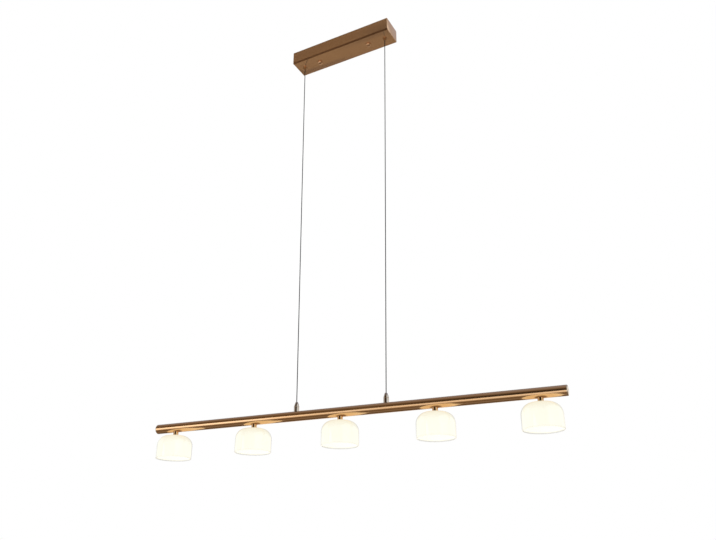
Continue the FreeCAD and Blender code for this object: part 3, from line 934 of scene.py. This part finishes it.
couplerLook = {
    "radius": 7.0 * mm,
    "shank": 5.0 * mm,
    "shankFoot": 3.0 * mm,
    "chamber": 2.8 * mm,
    "chamberDepth": 9.0 * mm,
    "wireHole": 2.0 * mm,
    "land": 1.5 * mm,
    "tip": 3.2 * mm,
    "cableHole": 1.75 * mm,
    "flare": 0.5 * mm,
    "flareDepth": 5.0 * mm,
    "seat": 2.7 * mm,
    "seatDepth": 0.05 * mm,
    "chamfer": 0.3 * mm,
    "tipChamfer": (0.3 * mm, 0.5 * mm),
    "overlap": 1 * mm,
}


def makeCoupler(side):
    low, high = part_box(side + "_coupler_body")
    centre = (low + high) / 2
    radius = couplerLook["radius"]
    top = high.z - barCentre.z
    beyond = couplerLook["overlap"]
    chamfer = couplerLook["chamfer"]
    outline = [
        (0, 0),
        (radius, 0),
        (radius, top - chamfer),
        (radius - chamfer, top),
        (0, top),
    ]
    body = combine(turned(side + "CouplerBody", outline, 72), tubeCutter())
    shank = rod(couplerLook["shank"], couplerLook["shankFoot"], barRadius + beyond, steps=72)
    combine(body, shank, "UNION")
    combine(body, rod(couplerLook["wireHole"], 0, top + beyond))
    combine(body, rod(couplerLook["chamber"], top - couplerLook["chamberDepth"], top + beyond))
    settle(body, (centre.x, centre.y, barCentre.z), (0, 0, barTurn))
    dress(body, "bar", couplerMetal, "polished_coupler", side + "_coupler_body")

    noseLow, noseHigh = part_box(side + "_coupler_nose")
    # underneath, a shallow seat for the crimped end of the cable; on top, a wider mouth,
    # so that the cable stays clear when it leans
    seat = noseLow.z + couplerLook["seatDepth"]
    tipAcross, tipDown = couplerLook["tipChamfer"]
    outline = [
        (couplerLook["cableHole"], seat),
        (couplerLook["seat"], seat),
        (couplerLook["seat"], noseLow.z),
        (radius - chamfer, noseLow.z),
        (radius, noseLow.z + chamfer),
        (radius, noseLow.z + couplerLook["land"]),
        (couplerLook["tip"] + tipAcross, noseHigh.z - tipDown),
        (couplerLook["tip"] - tipAcross, noseHigh.z),
        (couplerLook["cableHole"] + couplerLook["flare"], noseHigh.z),
        (couplerLook["cableHole"], noseHigh.z - couplerLook["flareDepth"]),
        (couplerLook["cableHole"], seat),
    ]
    nose = settle(turned(side + "CouplerNose", outline, 72), (centre.x, centre.y, 0))
    dress(nose, "bar", couplerMetal, "polished_coupler", side + "_coupler_nose")


for side in sides:
    makeCoupler(side)
print("couplers made")


# Lamps: a neck that fits the tube's underside, then the shade, and in it the lamp base and diffuser

neckLook = {"radius": 7 * mm, "chamfer": 0.35 * mm, "nippleHole": 5 * mm, "overlap": 1 * mm}


def makeNeck():
    low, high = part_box("neck_1")
    radius = neckLook["radius"]
    chamfer = neckLook["chamfer"]
    foot = low.z - barCentre.z
    # the neck starts too high, and the tube's shape is cut out of it
    top = high.z - barCentre.z + neckLook["overlap"]
    outline = [
        (neckLook["nippleHole"], foot),
        (radius - chamfer, foot),
        (radius, foot + chamfer),
        (radius, top),
        (neckLook["nippleHole"], top),
        (neckLook["nippleHole"], foot),
    ]
    return combine(turned("neckPiece_1", outline, 72), tubeCutter())


shadeLook = {
    "wall": 3.0 * mm,
    "crownRadius": 145 * mm,
    "crownSteps": 10,
    "shoulderRadius": 26 * mm,
    "shoulderSteps": 14,
    "seat": 7.5 * mm,
    "hole": 5.15 * mm,
    "rimRounding": 1.2 * mm,
    "rimSteps": 5,
}


def domeLine(radius, top, crownRadius, shoulderRadius, inner, foot):
    # from the hole outward over the crown and the shoulder, down to the foot
    shoulderAcross = radius - shoulderRadius
    rise = math.sqrt((crownRadius - shoulderRadius) ** 2 - shoulderAcross ** 2)
    slope = math.degrees(math.atan2(rise, shoulderAcross))
    start = math.degrees(math.acos(inner / crownRadius))
    centre = top - crownRadius
    crown = arc(0, centre, crownRadius, start, slope, shadeLook["crownSteps"])
    steps = shadeLook["shoulderSteps"]
    shoulder = arc(shoulderAcross, centre + rise, shoulderRadius, slope, 0, steps)
    return crown + shoulder[1:] + [(radius, foot)]


def makeShade():
    top = shadeHigh.z
    wall = shadeLook["wall"]
    crown = shadeLook["crownRadius"]
    shoulder = shadeLook["shoulderRadius"]
    seat = shadeLook["seat"]
    hole = shadeLook["hole"]
    rounding = shadeLook["rimRounding"]
    steps = shadeLook["rimSteps"]
    foot = shadeLow.z + rounding
    # the crown is ground flat where the neck's gasket lies
    ground = crown - math.sqrt(crown ** 2 - seat ** 2)
    outside = domeLine(shadeRadius, top + ground, crown, shoulder, seat, foot)
    inside = domeLine(shadeRadius - wall, top - wall, crown - wall, shoulder - wall, hole, foot)
    rim = arc(shadeRadius - rounding, foot, rounding, 0, -90, steps)[1:]
    rim += arc(shadeRadius - wall + rounding, foot, rounding, -90, -180, steps)
    outline = [(hole, top)] + outside + rim + inside[::-1][1:] + [(hole, top)]
    return turned("shade_1", outline, 128)


baseLook = {
    "boss": 12 * mm,
    "bossHeight": 3.5 * mm,
    "chamfer": 1.0 * mm,
    "bore": 3.5 * mm,
    # the heights of the cooling grooves above the foot, which the diffuser's skirt leaves free
    "grooves": (6.8 * mm, 8.1 * mm),
    "grooveDepth": 0.6 * mm,
    "grooveWidth": 0.6 * mm,
}


def makeLampBase():
    low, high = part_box("lamp_base_1")
    radius = (high.y - low.y) / 2
    shoulder = high.z - baseLook["bossHeight"]
    chamfer = baseLook["chamfer"]
    half = baseLook["grooveWidth"] / 2
    outline = [(baseLook["bore"], low.z), (radius, low.z)]
    for groove in baseLook["grooves"]:
        height = low.z + groove
        outline += [
            (radius, height - half),
            (radius - baseLook["grooveDepth"], height - half),
            (radius - baseLook["grooveDepth"], height + half),
            (radius, height + half),
        ]
    outline += [
        (radius, shoulder - chamfer),
        (radius - chamfer, shoulder),
        (baseLook["boss"], shoulder),
        (baseLook["boss"], high.z),
        (baseLook["bore"], high.z),
        (baseLook["bore"], low.z),
    ]
    return turned("lampBase_1", outline, 96)


diffuserLook = {
    "wall": 1.5 * mm,
    "rounding": 3.0 * mm,
    "ledge": 0.6 * mm,
    "skirt": 5.0 * mm,
    "chamfer": 0.4 * mm,
}


def makeDiffuser():
    low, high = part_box("diffuser_1")
    radius = (high.y - low.y) / 2
    wall = diffuserLook["wall"]
    rounding = diffuserLook["rounding"]
    chamfer = diffuserLook["chamfer"]
    ledge = high.z - diffuserLook["skirt"]
    narrow = radius - wall - diffuserLook["ledge"]
    outline = [(0, low.z)]
    outline += arc(radius - rounding, low.z + rounding, rounding, -90, 0, 8)
    outline += [
        (radius, high.z - chamfer),
        (radius - chamfer, high.z),
        (radius - wall, high.z),
        (radius - wall, ledge),
        (narrow, ledge),
    ]
    outline += arc(narrow - rounding / 2, low.z + wall + rounding / 2, rounding / 2, 0, -90, 5)
    outline += [(0, low.z + wall)]
    return turned("diffuserCap_1", outline, 96)


def makeLamps():
    # the pattern, its copies' name, the height of its origin, and what it is made of
    kinds = [
        (makeNeck(), "neckPiece", barCentre.z, neckBrass, "bar_brass", "neck"),
        (makeShade(), "shade", 0, opalGlass, "opal_glass", "shade_glass"),
        (makeLampBase(), "lampBase", 0, castWhite, "cast_aluminium", "lamp_base"),
        (makeDiffuser(), "diffuserCap", 0, opalDiffuser, "opal_diffuser", "diffuser"),
    ]
    for number, spot in zip(lampNumbers, neckPlaces):
        for pattern, name, height, material, slot, node in kinds:
            piece = twin(pattern, "%s_%d" % (name, number))
            # only the neck, which fits the tube, is turned with the bar
            settle(piece, (spot.x, spot.y, height), (0, 0, barTurn if node == "neck" else 0))
            dress(piece, "bar", material, slot, "%s_%d" % (node, number))
    for kind in kinds:
        bpy.data.objects.remove(kind[0])


makeLamps()
print("lamps made")


# Pieces of the frame that keep their own shape

keptFinishes = {
    "ceiling_bracket": zincSteel,
    "cover_studs": zincSteel,
    "driver_fixings": zincSteel,
    "grip_locknuts": zincSteel,
    "tube_nuts": zincSteel,
    "threaded_nipples": zincSteel,
    "led_driver": whitePlastic,
    "terminal_block": whitePlastic,
    "earth_screw": turnedBrass,
    "earth_lead": earthInsulation,
    "mains_leads": brownInsulation,
    "left_cable_tail": cableSteel,
    "right_cable_tail": cableSteel,
    "left_grip_balls": ballSteel,
    "right_grip_balls": ballSteel,
    "left_cable_end": ballSteel,
    "right_cable_end": ballSteel,
    "positive_feed_wire": redInsulation,
    "negative_feed_wire": blackInsulation,
    "short_leads": blackInsulation,
    "shade_gaskets": silicone,
    "led_boards": boardWhite,
}
for node, material in keptFinishes.items():
    for slot in nodes[node].material_slots:
        slot.material = material
print("kept pieces finished:", len(keptFinishes))


# Studio: a pale floor and a white room, with soft light and dark walls that show only in the metal

floorLook = {
    "height": -5,
    "size": 24,
    "tone": (0.86, 0.86, 0.86, 1),
    "otherTone": (0.84, 0.84, 0.84, 1),
    "speckle": 3,
    "roughness": 0.8,
}


def makeFloor():
    deselectAll()
    bpy.ops.mesh.primitive_plane_add(size=floorLook["size"], location=(0, 0, floorLook["height"]))
    floor = bpy.context.object
    floor.name = "floor"

    def floorNodes(book):
        speckle = book.noise(book.place(), floorLook["speckle"], 2)
        return {"Base Color": book.blend(speckle, floorLook["tone"], floorLook["otherTone"])}

    paleFloor = finish("paleFloor", {"Roughness": floorLook["roughness"]}, floorNodes)
    floor.data.materials.append(paleFloor)
    floor.visible_glossy = False


roomLook = {
    # tones by direction: 0 is level behind, 0.25 down, 0.5 level in front, 0.75 up
    "tones": [
        (0.000, (1.10, 1.00, 0.90)),
        (0.020, (0.90, 0.80, 0.70)),
        (0.045, (0.12, 0.09, 0.07)),
        (0.070, (0.12, 0.09, 0.07)),
        (0.082, (0.195, 0.150, 0.097)),
        (0.125, (0.195, 0.150, 0.097)),
        (0.150, (0.12, 0.09, 0.06)),
        (0.195, (0.13, 0.10, 0.07)),
        (0.252, (0.30, 0.25, 0.22)),
        (0.320, (0.13, 0.09, 0.050)),
        (0.385, (0.25, 0.19, 0.13)),
        (0.428, (0.80, 0.77, 0.74)),
        (0.450, (1.10, 1.08, 1.06)),
        (0.484, (1.06, 1.04, 1.02)),
        (0.497, (0.80, 0.76, 0.72)),
        (0.512, (0.13, 0.082, 0.038)),
        (0.603, (0.14, 0.095, 0.053)),
        (0.665, (0.25, 0.215, 0.195)),
        (0.766, (0.31, 0.305, 0.370)),
        (0.952, (0.25, 0.265, 0.330)),
        (0.982, (0.90, 0.840, 0.780)),
        (1.000, (1.10, 1.000, 0.900)),
    ],
    # toward the left these tones lie higher, and at the far left lower again
    "lean": (-0.05, -0.5, 0.018, -0.036),
    "leanBack": (-0.57, -0.66, 0, 0.05),
    # a bright window to the left, from where it starts to where it ends, and its foot and top
    "windowTone": (1.65, 1.65, 1.70, 1),
    "windowStart": (-0.36, -0.44),
    "windowEnd": (-0.66, -0.57),
    "windowFoot": (0.40, 0.44),
    "windowTop": (0.51, 0.50),
    # a dark cloth round the camera, which the upright round pieces show as a dark core
    "clothTone": (0.032, 0.022, 0.014, 1),
    "clothStart": (-0.30, -0.15),
    "clothFoot": (0.50, 0.52),
    "clothTop": (0.63, 0.58),
    # it reaches higher to the right
    "highClothStart": (0.02, 0.10),
    "highClothTop": (0.76, 0.70),
    # white screens beside the lamp, above the horizon
    "screenTone": (0.86, 0.94, 1.0, 1),
    "screenFoot": (-0.02, 0.03),
    "leftScreen": (-0.66, -0.78, 0, 0.6),
    "rightScreen": (0.46, 0.58),
    "rightScreenFront": (-0.74, -0.64),
}


def makeRoom():
    world = bpy.context.scene.world or bpy.data.worlds.new("room")
    bpy.context.scene.world = world
    book = NodeBook(world)
    book.nodes.clear()
    direction = book.add("ShaderNodeTexCoord", result="Generated")
    across = book.add("ShaderNodeSeparateXYZ", {}, {0: direction})
    turn = book.maths("ARCTAN2", across.also("Z"), across.also("Y") * -1)

    def part(wire, *keys):
        # a stretch of the room, with soft ends
        stretch = book.span(wire, *roomLook[keys[0]])
        for key in keys[1:]:
            stretch = stretch * book.span(wire, *roomLook[key])
        return stretch

    level = turn / (2 * math.pi) + 0.5 + (part(across, "lean") + part(across, "leanBack"))
    tones = book.add("ShaderNodeValToRGB", {"stops": roomLook["tones"]}, {0: level})
    window = part(across, "windowStart", "windowEnd") * part(level, "windowFoot", "windowTop")
    tones = book.blend(window, tones, roomLook["windowTone"])
    lowCloth = part(across, "clothStart") * part(level, "clothTop")
    highCloth = part(across, "highClothStart") * part(level, "highClothTop")
    cloth = book.maths("MAXIMUM", lowCloth, highCloth) * part(level, "clothFoot")
    tones = book.blend(cloth, tones, roomLook["clothTone"])
    right = part(across, "rightScreen") * part(across.also("Y"), "rightScreenFront")
    screens = book.maths("MAXIMUM", part(across, "leftScreen"), right)
    screens = screens * part(across.also("Z"), "screenFoot")
    tones = book.blend(screens, tones, roomLook["screenTone"])
    # the camera itself sees plain white
    seen = book.add("ShaderNodeLightPath", result="Is Camera Ray")
    colour = book.blend(seen, tones, (1, 1, 1, 1))
    background = book.add("ShaderNodeBackground", {}, {"Color": colour, "Strength": 1.0})
    book.add("ShaderNodeOutputWorld", {}, {"Surface": background})


# place, aim, size, power, and whether the metal shows it
lightLooks = {
    "endLight": ((1.3, 2.2, 1.9), (0.17, 0, -0.02), (1.4, 1.4), 1.1, True),
    "frontLight": ((0.2, -3.6, -1.6), (0, 0, -0.8), (2.4, 1.2), 30, False),
    "fillLight": ((0.2, -0.9, -2.6), (0, 0, -0.1), (2.0, 1.0), 12, False),
    "floorLight": ((0, 0, -4.5), (0, 0, -5), (20, 20), 560, False),
}


def softLight(name, location, target, size, power, glossy):
    lamp = bpy.data.lights.new(name, "AREA")
    lamp.shape = "RECTANGLE"
    lamp.size = size[0]
    lamp.size_y = size[1]
    lamp.energy = power
    light = bpy.data.objects.new(name, lamp)
    aim = Vector(target) - Vector(location)
    light.location = location
    light.rotation_euler = aim.to_track_quat("-Z", "Y").to_euler()
    light.visible_camera = False
    light.visible_glossy = glossy
    bpy.context.scene.collection.objects.link(light)


makeFloor()
makeRoom()
for name, look in lightLooks.items():
    softLight(name, *look)
print("studio made")


# Camera where the photograph was taken from

cameraLook = {
    "focal": 35.81,
    "sensor": 36,
    "farthest": 50,
    "place": (0.8870, -1.5601, -1.5930),
    "rise": 23.91,
    "heading": 28.18,
}
rise = math.radians(90 + cameraLook["rise"])
camera = bpy.data.objects.new("camera", bpy.data.cameras.new("camera"))
camera.data.sensor_width = cameraLook["sensor"]
camera.data.lens = cameraLook["focal"]
camera.data.clip_end = cameraLook["farthest"]
camera.location = cameraLook["place"]
camera.rotation_euler = (rise, 0, math.radians(cameraLook["heading"]))
bpy.context.scene.collection.objects.link(camera)
bpy.context.scene.camera = camera
bpy.context.scene.view_settings.view_transform = "Standard"
print("camera placed")
